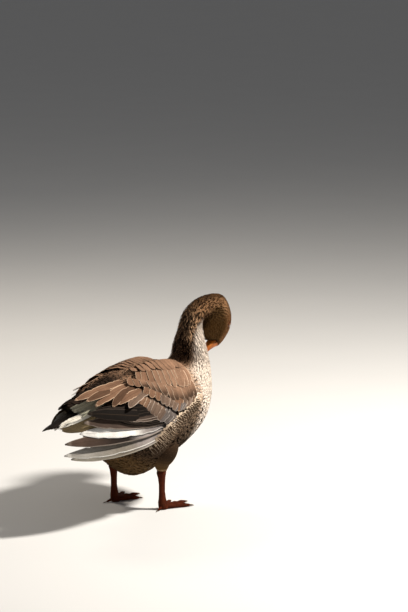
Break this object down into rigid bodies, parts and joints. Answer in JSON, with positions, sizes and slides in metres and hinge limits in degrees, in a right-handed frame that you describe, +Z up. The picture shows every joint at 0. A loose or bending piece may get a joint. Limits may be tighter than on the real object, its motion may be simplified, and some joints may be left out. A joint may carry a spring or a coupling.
{
  "type": "toulouse goose",
  "caption": "Life-size standing goose, grey-brown, neck arched over and bill tucked to its breast, one wing hanging slack.",
  "frame": {"origin": "on the floor, below the middle of the bird's box", "axes": "+X forward, from tail to breast, +Y to the bird's left, +Z up"},
  "size_m": [0.6676, 0.288, 0.512],
  "materials": {
    "plumage": "matt feathers",
    "breast": "matt feathers",
    "wing": "matt feathers",
    "tail": "matt feathers",
    "bill": "smooth horn",
    "leg": "scaled skin",
    "claw": "smooth horn",
    "eye": "wet gloss"
  },
  "bodies": {
    "root": {"torso": "breast", "neck_lower": "plumage", "neck_upper": "plumage", "head": "plumage", "eye_left": "eye", "eye_right": "eye", "bill_upper": "bill", "bill_lower": "bill", "wing_left": "wing", "wing_right": "wing", "tail": "tail", "thigh_left": "plumage", "thigh_right": "plumage", "shank_left": "leg", "shank_right": "leg", "foot_left": "leg", "foot_right": "leg", "claw_inner_left": "claw", "claw_middle_left": "claw", "claw_outer_left": "claw", "claw_hind_left": "claw", "claw_inner_right": "claw", "claw_middle_right": "claw", "claw_outer_right": "claw", "claw_hind_right": "claw"}
  },
  "joints": []
}
